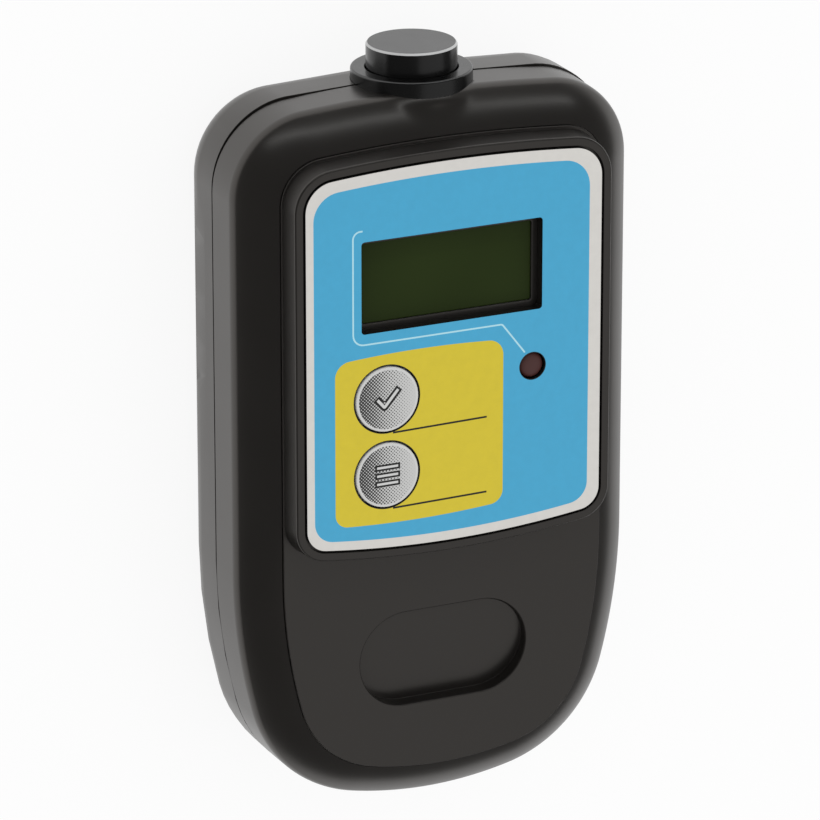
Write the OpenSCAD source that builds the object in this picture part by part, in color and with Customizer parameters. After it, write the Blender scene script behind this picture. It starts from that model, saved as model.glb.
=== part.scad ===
// Hand-held coating thickness gauge: a two-part plastic housing with a raised label deck,
// a display, two keys and a lamp on the front, and a sprung measuring probe at the top end.
// It lies on its back: +Z comes out of the display, +Y points along the body to the probe.

/* [Body] */
// Width of the body at the parting line
body_w = 60; // [57:0.5:66]
// Length of the body without the probe
body_len = 104.4; // [101:0.1:116]
// Depth from the back to the face of the label
depth = 26; // [25:0.1:30]
// Height of the parting line above the back
parting_z = 11.6; // [11:0.1:13]
// Wall of the two housing halves
wall = 2.2; // [1.6:0.1:2.6]
// Radius of the two top corners
top_corner_r = 12; // [10.5:0.5:15]
// Radius of the arched top end
top_arch_r = 220; // [120:10:500]
// Radius of the two bottom corners
bottom_corner_r = 20; // [16:0.5:24]
// Radius of the arched bottom end
bottom_arch_r = 56; // [48:1:80]
// Radius of the sides where they draw in towards the bottom end
side_sweep_r = 83; // [70:1:110]
// Angle through which the sides draw in
side_sweep_angle = 15; // [10:1:18]
// Rounding of the rear edge
back_edge_r = 6.5; // [4:0.5:8]
// Width of the sloping shoulder round the front
shoulder_run = 5.4; // [4:0.1:5.5]
// Height of the sloping shoulder round the front
shoulder_rise = 5; // [4.5:0.1:6]
// Radius of the bend from the side wall into the shoulder
shoulder_bend_r = 2.5; // [2:0.1:4]
// Tilt of the side wall's bend where the shoulder begins, in degrees
shoulder_tilt = 40; // [30:1:45]
// How far the front half draws in from the parting line to the shoulder
draft = 0.1; // [0.1:0.1:0.5]
// Depth of the groove along the parting line
groove = 0.3; // [0.2:0.05:0.5]
// Step from the shoulder up to the lower face
face_step = 0.3; // [0.2:0.05:0.5]
// Run of that step
step_run = 0.25; // [0.1:0.05:0.4]
// Thickness of the lower face
face_t = 2; // [1.6:0.1:2.4]

/* [Label deck] */
// Height of the label deck above the lower face
deck_h = 3.6; // [3:0.1:4.4]
// Length of the label between the tops of its arched ends
label_len = 55.8; // [54:0.1:60]
// Thickness of the label
label_t = 0.4; // [0.3:0.05:0.6]
// Plastic under the label
deck_t = 1.7; // [1.4:0.1:2]
// Gap round the label in its pocket
label_gap = 0.15; // [0.1:0.05:0.3]
// Strip of the lower face above the deck
top_strip = 0.5; // [0.1:0.1:1]
// Rim round the label pocket
deck_rim = 1.2; // [1:0.05:1.4]
// Rounding of the rim's outer edge
deck_edge_r = 0.45; // [0.3:0.05:0.5]
// Hollow rounding of the deck's foot
deck_foot_r = 0.25; // [0.2:0.05:0.5]
// Run of the steep deck flank
flank_run = 0.1; // [0.05:0.05:0.2]
// Distance from the label's edge in to the room below the deck
deck_wall = 0.6; // [0.4:0.1:1]
// Radius of the label's top corners
label_top_r = 4.5; // [4:0.5:6]
// Radius of the label's bottom corners
label_bottom_r = 3.4; // [2.5:0.1:5]
// Radius of the label's arched lower end
label_arch_r = 150; // [100:10:300]

/* [Thumb rest] */
// Length of the thumb recess
thumb_w = 25.6; // [20:0.2:28]
// Height of the thumb recess
thumb_h = 14; // [11:0.2:15]
// Distance from the label's lower end to the middle of the recess
thumb_drop = 18.2; // [17:0.1:19]
// Depth of the recess at its upper edge
thumb_shallow = 0.5; // [0.3:0.1:1]
// Depth of the recess at its lower edge
thumb_deep = 2.2; // [1.5:0.1:2.6]
// Plastic under the recess
thumb_t = 1.6; // [1.2:0.1:2]

/* [Display] */
// Width of the display window
window_w = 27.4; // [24:0.2:28]
// Height of the display window
window_h = 13.3; // [11:0.1:14]
// Radius of the window's corners
window_r = 0.5; // [0.2:0.1:1]
// Distance from the label's top to the middle of the window
window_drop = 16.9; // [16.5:0.1:18]
// Sideways place of the window
window_x = -0.4; // [-1:0.1:1]
// Glass hidden beside the window
glass_border_x = 1.8; // [1.4:0.1:2]
// Glass hidden above and below the window
glass_border_y = 3.2; // [2.8:0.1:3.4]
// Thickness of the display glass
glass_t = 2.8; // [2:0.1:3.2]
// Height of the contact strips under the glass
strip_h = 2.5; // [2.2:0.1:3]
// Width of a contact strip
strip_w = 2; // [1.5:0.1:2.4]
// Wall of the frame round the glass
bezel_t = 1; // [0.8:0.1:1.2]
// Gap between the glass and its frame
glass_clear = 0.15; // [0.1:0.05:0.3]

/* [Keys and lamp] */
// Diameter of a key's hole in the label
key_hole_d = 9.9; // [9:0.1:10.2]
// Gap round a key
key_clear = 0.25; // [0.15:0.05:0.35]
// Sideways place of the keys
key_x = -10.3; // [-11:0.1:-9.5]
// Distance from the label's top to the upper key
key_drop = 33.4; // [33:0.1:35]
// Distance between the two keys
key_pitch = 11.1; // [11:0.1:12]
// Height of the keys above the label
key_proud = 0.2; // [0.1:0.05:0.5]
// Travel of a key
key_travel = 0.5; // [0.3:0.05:0.6]
// Width of the flange that keeps a key in
key_flange = 0.5; // [0.4:0.05:0.55]
// Thickness of that flange
key_flange_t = 0.8; // [0.6:0.1:1]
// Height of a key's stem below its flange
key_stem_h = 0.2; // [0.1:0.05:0.4]
// Chamfer round a key's face
key_edge = 0.2; // [0.1:0.05:0.3]
// Width of a key's switch
switch_w = 6; // [5:0.5:7]
// Height of a switch above the board
switch_h = 3.5; // [3.1:0.1:3.6]
// Diameter of a switch plunger
plunger_d = 3.4; // [3:0.1:4]
// Gap round a plunger in its switch
plunger_clear = 0.15; // [0.1:0.05:0.25]
// Diameter of the lamp
led_d = 3; // [2.5:0.1:3.4]
// Width of the flange round the lamp's foot
led_flange = 0.3; // [0.2:0.05:0.4]
// Thickness of that flange
led_flange_t = 1; // [0.8:0.1:1.2]
// Diameter of the lamp's hole
led_hole_d = 3.9; // [3.6:0.1:4.4]
// Height of the lamp from its foot to its dome
led_h = 5.3; // [4.6:0.1:5.4]
// Depth of the lamp's dome below the face of the label
led_sink = 0.1; // [0:0.05:0.3]
// Distance between the lamp's two leads
lead_pitch = 2.54; // [2:0.02:2.6]
// Thickness of a lamp lead
lead_t = 0.5; // [0.4:0.05:0.6]
// Sideways place of the lamp
led_x = 11.9; // [10:0.1:13]
// Distance from the label's top to the lamp
led_drop = 31.8; // [31:0.1:36]

/* [Board] */
// Thickness of the circuit board
board_t = 1.6; // [1:0.1:2]
// Gap between the board and the deck wall
board_gap = 0.6; // [0.4:0.1:1]
// Distance from the label's lower end to the board's lower edge
board_rise = 3.5; // [3:0.1:5]
// Diameter of a board post
post_d = 4; // [3.4:0.1:4.2]
// Distance from the board's side to a lower post
post_inset = 2; // [1.9:0.1:2.2]
// Distance from the board's lower edge to a lower post
post_rise = 2.6; // [2.2:0.1:3]
// Gap between an upper post and the display frame
post_gap = 0.2; // [0.1:0.05:0.3]
// Width of the board's two ears, one on each side of the probe
ear_w = 5; // [4.6:0.1:5.4]
// Thread diameter of a board screw
board_screw_d = 1.8; // [1.6:0.1:2]
// Length of a board screw's thread
board_screw_len = 4.6; // [4:0.1:5]
// Height of a board screw's head
board_screw_head_h = 1.2; // [1:0.1:1.5]
// Width of the controller chip
chip_w = 10; // [7:0.5:11]
// Thickness of the controller chip
chip_t = 1.4; // [1:0.1:2]
// Diameter of the buzzer
buzzer_d = 12; // [9:0.5:12.5]
// Height of the buzzer
buzzer_h = 6.5; // [5:0.1:7]
// Diameter of the buzzer's sound hole
buzzer_hole_d = 2; // [1.5:0.1:2.5]
// Depth of that hole
buzzer_hole_h = 1.5; // [1:0.1:2]
// Distance from the lamp to the middle of the buzzer
buzzer_offset = 7.5; // [6:0.1:8]
// Width of the probe's socket
socket_w = 6; // [5:0.1:7]
// Depth and height of the probe's socket
socket_h = 4.5; // [4:0.1:5]
// Wall of the probe's socket
socket_t = 1; // [0.8:0.1:1.2]
// Depth of the socket's mouth
socket_depth = 2; // [1.5:0.1:2.5]
// Diameter of a probe lead
probe_lead_d = 0.8; // [0.6:0.1:1]
// Distance from the middle to a probe lead
lead_x = 1; // [0.8:0.05:1.2]

/* [Probe] */
// Diameter of the probe head
probe_d = 12.7; // [12:0.1:13]
// How far the probe head stands out of the body
probe_out = 4.8; // [4.5:0.1:7]
// Travel of the probe head
probe_travel = 2.5; // [1.5:0.1:2.6]
// Chamfer round the probe's face
probe_chamfer = 0.5; // [0.3:0.1:0.8]
// Thickness of the probe's face
probe_face_t = 1.5; // [1:0.1:2]
// Running gap between the probe head and its collar
probe_clear = 0.15; // [0.1:0.05:0.25]
// Diameter of the collar
collar_d = 17; // [16.6:0.1:17.6]
// How far the collar stands out of the body
collar_out = 1.3; // [1:0.1:2]
// Length of the collar's narrow front bore
collar_bore_len = 5; // [4:0.1:5.2]
// Chamfer round the collar's end
collar_edge = 0.3; // [0.2:0.05:0.5]
// Thickness of the rib that holds the collar
rib_t = 2; // [1.6:0.1:2.4]
// Depth of the rib in the collar
rib_grip = 0.5; // [0.4:0.05:0.7]
// Width of the shoulder that keeps the head in
stop_w = 0.5; // [0.4:0.05:0.6]
// Thickness of the head's stop flange
stop_t = 2; // [1.5:0.1:2.2]
// Thickness of the plug that closes the collar
retainer_t = 2; // [1.5:0.1:2.2]
// Diameter of the hole for the leads in that plug
retainer_hole_d = 4; // [3:0.1:5]
// Wire diameter of the probe spring
spring_wire_d = 0.7; // [0.5:0.05:0.8]
// Turns of the probe spring
spring_turns = 3.5; // [2.5:0.5:3.5]
// Gap between the probe spring and its bore
spring_gap = 0.4; // [0.3:0.05:0.6]
// Wall of the probe head
head_wall = 1.75; // [1.5:0.05:2]
// Diameter of the magnetic core
core_d = 3; // [2.4:0.1:3.4]
// Thickness of the coil former's flanges
former_flange_t = 0.8; // [0.5:0.1:1.2]
// Wall of the coil former
former_t = 0.7; // [0.5:0.05:0.9]
// How far the coil former ends before the head
former_inset = 0.4; // [0.2:0.1:0.8]
// Gap between the coil and the head
coil_gap = 0.3; // [0.2:0.05:0.5]

/* [Battery] */
// Diameter of a cell
cell_d = 10.5; // [10:0.1:10.6]
// Length of a cell with its button
cell_len = 44.5; // [43:0.1:45]
// Diameter of a cell's button
button_d = 3.8; // [3.4:0.1:4.4]
// Height of a cell's button
button_h = 1; // [0.8:0.1:1.2]
// Chamfer round a cell's ends
cell_edge = 0.4; // [0.3:0.05:0.6]
// Gap round the cells in their tray
cell_clear = 0.3; // [0.2:0.05:0.4]
// Gap between the two cells
cell_gap = 0.7; // [0.5:0.1:1]
// Room for a contact spring at a cell's flat end
contact_room = 3.5; // [3:0.1:4]
// Thickness of the contact plates
contact_t = 0.4; // [0.3:0.05:0.5]
// Width and height of a contact plate
contact_w = 7.35; // [6:0.05:8]
// Width of a terminal's tail
tail_w = 3; // [2.4:0.1:3.6]
// Mean diameter of a contact spring
contact_spring_d = 5.2; // [4:0.1:6]
// Wire diameter of a contact spring
contact_wire_d = 0.6; // [0.4:0.05:0.7]
// Turns of a contact spring
contact_turns = 4; // [3:0.5:4.5]
// Wall of the battery tray
tray_t = 1.2; // [1:0.1:1.5]
// Gap between the tray's lower end and the housing wall
tray_gap = 0.6; // [0.4:0.1:1]
// Thickness of the battery door
door_t = 1.6; // [1.4:0.1:2]
// How far the door lies in from the back
door_inset = 0.2; // [0.1:0.05:0.4]
// Width of the tongues along the door
tongue_w = 0.9; // [0.6:0.1:1.2]
// Gap round the door
door_clear = 0.25; // [0.15:0.05:0.35]
// Plastic round the door's seat
seat_margin = 2; // [1.6:0.1:2.4]
// Plastic over the door's seat
seat_t = 1.4; // [1.2:0.1:1.8]
// Width of a finger groove in the door
door_groove_w = 1; // [0.8:0.1:1.4]
// Depth of a finger groove in the door
door_groove_h = 0.4; // [0.3:0.05:0.6]

/* [Screws and grip] */
// Thread diameter of a housing screw
screw_d = 2.4; // [2:0.1:2.8]
// Head diameter of a housing screw
screw_head_d = 4.4; // [4:0.1:4.8]
// Height of a housing screw's head
screw_head_h = 1.6; // [1.3:0.1:2]
// Width of the cross slot in a screw head
slot_w = 0.5; // [0.4:0.05:0.7]
// Depth of that slot
slot_h = 0.6; // [0.4:0.05:0.8]
// Depth of a screw head below the back
screw_seat = 4; // [3:0.5:5]
// Length of a housing screw's thread
screw_len = 12; // [11:0.5:13]
// Diameter of a screw boss
boss_d = 6.2; // [5.8:0.1:6.6]
// Distance from the side to an upper boss
upper_boss_in = 8; // [7.5:0.1:8.5]
// Distance from the top end to an upper boss
upper_boss_drop = 9.8; // [9.3:0.1:10.1]
// Distance from the side to a lower boss
lower_boss_in = 11.5; // [11:0.1:11.8]
// Distance from the bottom end to a lower boss
lower_boss_rise = 18.6; // [18:0.1:20]
// Length of the finger scoop in each rear side
grip_len = 27; // [20:1:34]
// Depth of the finger scoops
grip_depth = 0.5; // [0.3:0.05:0.8]
// Distance from the top end to the middle of a scoop
grip_drop = 31; // [26:0.5:40]

/* [Hidden] */
$fn = 64;
// Largest turn between two points of a housing outline, in degrees
arc_step = 6;
// Rings of a quarter-round edge, of the shoulder's bend and of the deck's roundings
edge_rings = 7;
bend_rings = 4;
deck_rings = 3;
// Overlap that joins or opens solids cleanly
eps = 0.4;
// Gap between pieces that are assembled and don't move
fit = 0.05;

half_w = body_w / 2;
y_bottom = -(body_len + probe_out) / 2;
y_top = y_bottom + body_len;
y_tip = y_top + probe_out;
z_face = depth - deck_h;
z_crease = z_face - face_step;
z_shoulder = z_crease - shoulder_rise;
face_inset = draft + shoulder_run + step_run;

// Label, its pocket and the deck below it
deck_margin = label_gap + deck_rim + flank_run + deck_foot_r;
label_half = half_w - face_inset - deck_margin;
label_top = y_top - face_inset - top_strip - deck_margin;
label_bottom = label_top - label_len;
z_pocket = depth - label_t;
z_deck = z_pocket - deck_t;

// Display stack and board
window_y = label_top - window_drop;
glass_w = window_w + 2 * glass_border_x;
glass_h = window_h + 2 * glass_border_y;
bezel_w = glass_w + 2 * (glass_clear + bezel_t);
bezel_h = glass_h + 2 * (glass_clear + bezel_t);
z_glass = z_deck - glass_t;
z_board = z_glass - strip_h;
board_half = label_half - deck_wall - board_gap;
bezel_top = window_y + bezel_h / 2;
bezel_bottom = window_y - bezel_h / 2;
board_bottom = label_bottom + board_rise;
post_x = [board_half - post_inset, collar_d / 2 + board_gap + ear_w / 2];
post_y = [board_bottom + post_rise, bezel_top + post_gap + post_d / 2];
board_top = post_y[1] + post_d / 2;
socket_y = bezel_top - bezel_t - glass_clear - socket_h;

// Keys, switches and lamp
key_d = key_hole_d - 2 * key_clear;
key_y = [label_top - key_drop, label_top - key_drop - key_pitch];
z_switch = z_board + switch_h;
plunger_grip = 1.1;
z_plunger = z_deck - fit - key_flange_t - key_stem_h;
led_y = label_top - led_drop;
chip_at = [key_x, bezel_bottom];
buzzer_at = [led_x - buzzer_offset, bezel_bottom + bezel_t];
led_foot = depth - led_h - led_sink;

// Probe and its collar
probe_r = probe_d / 2;
collar_r = collar_d / 2;
y_collar = y_top + collar_out;
y_stop = y_collar - collar_bore_len;
spring_solid = (spring_turns + 0.5) * spring_wire_d;
bore_r = probe_r + probe_clear;
cage_r = bore_r + stop_w;
head_bore_r = probe_r - head_wall;
y_head_end = y_stop - fit - stop_t;
y_retainer = y_head_end - probe_travel - spring_solid;
y_collar_end = y_retainer - retainer_t;
rib_in = 6.8;
rib_y = y_top - rib_in;
rib_r = collar_r - rib_grip;
rib_reach = 2;
y_coil = [y_head_end + former_inset, y_tip - probe_face_t - fit];

// Battery tray and door
cell_pitch = cell_d + cell_gap;
tray_half = (cell_pitch + cell_d) / 2 + cell_clear;
tray_sag = bottom_arch_r - sqrt(bottom_arch_r * bottom_arch_r - pow(tray_half + tray_t, 2));
tray_y0 = y_bottom + wall + tray_sag + tray_t + tray_gap;
tray_y1 = tray_y0 + cell_len + contact_room + 2 * contact_t;
z_door = door_inset + door_t;
z_cell = z_door + cell_clear + cell_d / 2;
z_tray = z_cell + cell_d / 2 + cell_clear;
door_half = tray_half + tray_t;
door_y1 = tray_y1 + 1;

// Screws
boss_x = [half_w - upper_boss_in, half_w - lower_boss_in];
boss_y = [y_top - upper_boss_drop, y_bottom + lower_boss_rise];
bosses = [for (i = [0, 1]) for (side = [-1, 1]) [side * boss_x[i], boss_y[i]]];
posts = [for (i = [0, 1]) for (side = [-1, 1]) [side * post_x[i], post_y[i]]];

// Outlines are chains of tangent arcs: [centre, radius, first and last normal angle, 1 after a straight]
function arc_points(a, d) =
    let (n = max(1, ceil((a[3] - a[2]) / arc_step)))
    [for (i = [1 - a[4] : n])
        let (t = a[2] + (a[3] - a[2]) * i / n)
        a[0] + (a[1] - d) * [cos(t), sin(t)]];

// The right half of an outline, pulled in by d, and its mirror image
function outline(arcs, d) =
    let (right = [for (a = arcs) each arc_points(a, d)])
    concat(right, [for (i = [len(right) - 2 : -1 : 1]) [-right[i][0], right[i][1]]]);

// Body outline: arched ends with round corners, and sides that sweep in towards the bottom end
function body_arcs() =
    let (
        corner_x = half_w - side_sweep_r + (side_sweep_r - bottom_corner_r) * cos(side_sweep_angle),
        low = asin(corner_x / (bottom_arch_r - bottom_corner_r)),
        corner_y = y_bottom + bottom_arch_r - (bottom_arch_r - bottom_corner_r) * cos(low),
        sweep_y = corner_y + (side_sweep_r - bottom_corner_r) * sin(side_sweep_angle),
        top_x = half_w - top_corner_r,
        high = asin(top_x / (top_arch_r - top_corner_r)),
        top_y = y_top - top_arch_r + (top_arch_r - top_corner_r) * cos(high)
    )
    [
        [[0, y_bottom + bottom_arch_r], bottom_arch_r, -90, -90 + low, 1],
        [[corner_x, corner_y], bottom_corner_r, -90 + low, -side_sweep_angle, 0],
        [[half_w - side_sweep_r, sweep_y], side_sweep_r, -side_sweep_angle, 0, 0],
        [[top_x, top_y], top_corner_r, 0, 90 - high, 1],
        [[0, y_top - top_arch_r], top_arch_r, 90 - high, 90, 0]
    ];

// Label outline: round corners, straight sides, an arched lower end and a top end that follows the body's
function label_arcs() =
    let (
        low_x = label_half - label_bottom_r,
        low = asin(low_x / (label_arch_r - label_bottom_r)),
        low_y = label_bottom + label_arch_r - (label_arch_r - label_bottom_r) * cos(low),
        high_r = top_arch_r - (y_top - label_top),
        top_x = label_half - label_top_r,
        high = asin(top_x / (high_r - label_top_r)),
        top_y = label_top - high_r + (high_r - label_top_r) * cos(high)
    )
    [
        [[0, label_bottom + label_arch_r], label_arch_r, -90, -90 + low, 1],
        [[low_x, low_y], label_bottom_r, -90 + low, 0, 0],
        [[top_x, top_y], label_top_r, 0, 90 - high, 1],
        [[0, label_top - high_r], high_r, 90 - high, 90, 0]
    ];

// Solid through a stack of parallel outlines, each step [inset, height], lowest first
module loft(arcs, steps) {
    rings = [for (s = steps) outline(arcs, s[0])];
    n = len(rings[0]);
    last = len(steps) - 1;
    points = [for (k = [0 : last]) for (p = rings[k]) [p[0], p[1], steps[k][1]]];
    sides = [for (k = [0 : last - 1]) for (i = [0 : n - 1])
        let (j = (i + 1) % n) [k * n + i, (k + 1) * n + i, (k + 1) * n + j, k * n + j]];
    floor_face = [for (i = [0 : n - 1]) i];
    roof_face = [for (i = [n - 1 : -1 : 0]) last * n + i];
    polyhedron(points, concat([floor_face], sides, [roof_face]), convexity = 6);
}

// Upright slab with a label-like outline, grown by d
module label_slab(d, z0, z1) {
    translate([0, 0, z0]) linear_extrude(z1 - z0) polygon(outline(label_arcs(), -d));
}

// Slot with round ends, lying along X
module stadium(w, h) {
    square([w - h, h], center = true);
    for (side = [-1, 1]) translate([side * (w - h) / 2, 0]) circle(d = h);
}

// Rectangle with round corners
module rounded_rect(w, h, r) {
    square([w - 2 * r, h], center = true);
    square([w, h - 2 * r], center = true);
    for (x = [-1, 1]) for (y = [-1, 1]) translate([x * (w / 2 - r), y * (h / 2 - r)]) circle(r = r);
}

// Turned piece along Y from y0 to y1
module rod_y(r, y0, y1) {
    translate([0, y1, parting_z]) rotate([90, 0, 0]) cylinder(r = r, h = y1 - y0);
}

module tube_y(r_out, r_in, y0, y1) {
    difference() {
        rod_y(r_out, y0, y1);
        rod_y(r_in, y0 - eps, y1 + eps);
    }
}

// Round wire swept along a list of points, with the ring at each point square to the path
module wire(path, d, sides = 8) {
    n = len(path);
    points = [for (i = [0 : n - 1])
        let (
            along = path[min(i + 1, n - 1)] - path[max(i - 1, 0)],
            t = along / norm(along),
            up = abs(t[1]) > 0.9 ? [0, 0, 1] : [0, 1, 0],
            across = cross(up, t),
            u = across / norm(across),
            v = cross(t, u)
        )
        for (k = [0 : sides - 1])
            path[i] + d / 2 * (cos(360 * k / sides) * u + sin(360 * k / sides) * v)];
    skin = [for (i = [0 : n - 2]) for (k = [0 : sides - 1])
        let (m = (k + 1) % sides)
        [i * sides + k, (i + 1) * sides + k, (i + 1) * sides + m, i * sides + m]];
    start = [for (k = [0 : sides - 1]) k];
    end = [for (k = [sides - 1 : -1 : 0]) (n - 1) * sides + k];
    polyhedron(points, concat([start], skin, [end]), convexity = 8);
}

// Coil spring along Y between y0 and y1, its wire just inside both ends
module coil_spring(x, z, mean_r, wire_d, turns, y0, y1) {
    steps = ceil(turns * 16);
    run = y1 - y0 - wire_d;
    path = [for (i = [0 : steps])
        let (a = 360 * turns * i / steps)
        [x + mean_r * cos(a), y0 + wire_d / 2 + run * i / steps, z + mean_r * sin(a)]];
    wire(path, wire_d);
}

// Room for the collar in both housing halves, with a rib that enters the collar's groove
module collar_room() {
    rod_y(collar_r + fit, y_collar_end - 1, rib_y - rib_t / 2);
    rod_y(rib_r + fit, rib_y - rib_t, rib_y + rib_t);
    rod_y(collar_r + fit, rib_y + rib_t / 2, y_tip);
}

// Openings through the deck and the label: display window, two key holes and the lamp's hole
module deck_openings() {
    translate([window_x, window_y, z_deck - 1])
        linear_extrude(depth) rounded_rect(window_w, window_h, window_r);
    for (y = key_y) translate([key_x, y, z_deck - 1]) cylinder(d = key_hole_d, h = depth);
    translate([led_x, led_y, z_deck - 1]) cylinder(d = led_hole_d, h = depth);
}

// Housing profiles: inset and height of each outline. The shoulder is a tight bend out of the side wall and
// a gentle curve up to the crease, whose tilt at each end follows from the tilt of its chord
function shoulder_steps(d, z) =
    let (
        first = atan2(draft, z_shoulder - parting_z),
        tilt = shoulder_tilt,
        bend = shoulder_bend_r * [cos(first) - cos(tilt), sin(tilt) - sin(first)],
        chord = [shoulder_run, shoulder_rise] - bend,
        last = 2 * atan2(chord[0], chord[1]) - tilt,
        slope_r = norm(chord) / 2 / sin((last - tilt) / 2),
        bend_turn = [for (i = [0 : bend_rings - 1]) first + (tilt - first) * i / bend_rings],
        slope_turn = [for (i = [0 : edge_rings]) tilt + (last - tilt) * i / edge_rings]
    )
    concat(
        [for (t = bend_turn) [d + draft, z] + shoulder_bend_r * [cos(first) - cos(t), sin(t) - sin(first)]],
        [for (t = slope_turn) [d + draft, z] + bend + slope_r * [cos(tilt) - cos(t), sin(t) - sin(tilt)]]);

// Rear edge of radius r, inside by d
function back_steps(d, r) =
    [for (i = [0 : edge_rings])
        let (t = 90 * i / edge_rings)
        [d, d] + r * [1 - sin(t), 1 - cos(t)]];

// Deck: a hollow foot, a steep flank, a round edge and a flat rim
function deck_steps() =
    let (rim = label_gap + deck_rim, turn = [for (i = [0 : deck_rings]) 90 * i / deck_rings])
    concat(
        [[deck_margin, z_face - eps]],
        [for (t = turn) [deck_margin - deck_foot_r * sin(t), z_face + deck_foot_r * (1 - cos(t))]],
        [for (t = turn) [rim - deck_edge_r * (1 - cos(t)), depth - deck_edge_r * (1 - sin(t))]]);

module front_blank() {
    foot = [[groove, parting_z], [0, parting_z + groove]];
    loft(body_arcs(), concat(foot, shoulder_steps(0, z_shoulder), [[face_inset, z_face]]));
    loft(label_arcs(), [for (s = deck_steps()) [-s[0], s[1]]]);
}

module rear_blank() {
    rim = [[0, parting_z - groove], [groove, parting_z]];
    loft(body_arcs(), concat(back_steps(0, back_edge_r), rim));
}

// Thumb recess: a slot whose floor slopes down to its lower edge
module thumb_prism(grow, z0, z1) {
    translate([0, label_bottom - thumb_drop, z0])
        linear_extrude(z1 - z0) stadium(thumb_w + 2 * grow, thumb_h + 2 * grow);
}

module thumb_cut() {
    slope = atan((thumb_deep - thumb_shallow) / thumb_h);
    difference() {
        thumb_prism(0, z_face - thumb_deep - 1, z_face + 1);
        translate([0, label_bottom - thumb_drop + thumb_h / 2, z_face - thumb_shallow])
            rotate([slope, 0, 0])
            translate([-body_w / 2, -2 * thumb_h, -2 * depth])
            cube([body_w, 4 * thumb_h, 2 * depth]);
    }
}

// Room inside the front half, with the thumb rest and the screw bosses left standing
module front_cavity() {
    difference() {
        loft(body_arcs(), concat(
            [[wall, parting_z - 1]],
            shoulder_steps(wall, z_shoulder - face_t),
            [[face_inset + wall, z_face - face_t]]));
        thumb_prism(face_t, z_face - thumb_deep - thumb_t, z_face);
        for (b = bosses) translate([b[0], b[1], 0]) cylinder(d = boss_d, h = depth);
    }
    label_slab(-deck_wall, z_face - face_t - eps, z_deck);
}

module front_housing() {
    color([0.12, 0.12, 0.12]) difference() {
        union() {
            difference() {
                front_blank();
                front_cavity();
            }
            for (p = posts) translate([p[0], p[1], z_board])
                cylinder(d = post_d, h = z_deck + eps - z_board);
            translate([-collar_r - rib_reach, rib_y - rib_t / 2, parting_z])
                cube([collar_d + 2 * rib_reach, rib_t, z_face - face_t - parting_z]);
        }
        label_slab(label_gap, z_pocket, depth + 1);
        thumb_cut();
        deck_openings();
        for (b = bosses) translate([b[0], b[1], 0])
            cylinder(d = screw_d + 2 * fit, h = screw_seat + screw_len + eps);
        for (p = posts) translate([p[0], p[1], 0])
            cylinder(d = board_screw_d + 2 * fit, h = z_board - board_t + board_screw_len + eps);
        collar_room();
    }
}

module rear_cavity() {
    loft(body_arcs(), concat(back_steps(wall, max(back_edge_r - wall, 1)), [[wall, parting_z + 1]]));
}

// Room that the door slides in, open at the bottom end
module door_room(grow, z0) {
    translate([-door_half - grow, y_bottom - 1, z0])
        cube([2 * (door_half + grow), door_y1 + grow - y_bottom + 1, z_door - z0 + fit]);
}

module rear_housing() {
    seat_half = door_half + tongue_w + seat_margin;
    grip_r = grip_len * grip_len / 8 / grip_depth + grip_depth / 2;
    tray_foot = z_door + seat_t / 2;
    color([0.11, 0.11, 0.11]) difference() {
        union() {
            difference() {
                rear_blank();
                rear_cavity();
            }
            intersection() {
                rear_blank();
                union() {
                    translate([-seat_half, y_bottom, 0])
                        cube([2 * seat_half, door_y1 + seat_margin + 1 - y_bottom, z_door + seat_t]);
                    for (b = bosses) translate([b[0], b[1], 0]) cylinder(d = boss_d, h = parting_z);
                    translate([-collar_r - rib_reach, rib_y - rib_t / 2, wall / 2])
                        cube([collar_d + 2 * rib_reach, rib_t, parting_z - wall / 2]);
                }
            }
            translate([-door_half, tray_y0 - tray_t, tray_foot])
                cube([2 * door_half, tray_y1 - tray_y0 + 2 * tray_t, z_tray + tray_t - tray_foot]);
        }
        translate([-tray_half, tray_y0, -1]) cube([2 * tray_half, tray_y1 - tray_y0, z_tray + 1]);
        door_room(door_clear, -1);
        door_room(tongue_w + door_clear, z_door - door_t / 2 - door_clear / 2);
        for (side = [-1, 1]) translate([side * cell_pitch / 2, tray_y1 - contact_t / 2, z_tray])
            cube([tail_w + 2 * door_clear, contact_t + 2 * fit, 4 * tray_t], center = true);
        for (b = bosses) translate([b[0], b[1], -1]) {
            cylinder(d = screw_head_d + 4 * fit, h = screw_seat + 1);
            cylinder(d = screw_d + 4 * fit, h = parting_z + 2);
        }
        collar_room();
        for (side = [-1, 1]) translate([side * (half_w - grip_depth + grip_r), y_top - grip_drop, -1])
            cylinder(r = grip_r, h = 0.75 * parting_z + 1, $fn = 200);
    }
}

// Sliding door with a tongue along each side and three finger grooves
module battery_door() {
    color([0.13, 0.13, 0.13]) difference() {
        intersection() {
            rear_blank();
            union() {
                translate([-door_half, y_bottom, door_inset])
                    cube([2 * door_half, door_y1 - y_bottom, door_t]);
                translate([-door_half - tongue_w, y_bottom, z_door - door_t / 2])
                    cube([2 * (door_half + tongue_w), door_y1 - y_bottom, door_t / 2]);
            }
        }
        for (i = [2 : 4]) translate([-door_half / 2, door_y1 - 2 * i * door_groove_w, door_inset - 1])
            cube([door_half, door_groove_w, 1 + door_groove_h]);
    }
}

module overlay_label() {
    color([0.29, 0.65, 0.81]) difference() {
        label_slab(0, z_pocket, depth);
        deck_openings();
    }
}

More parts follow.
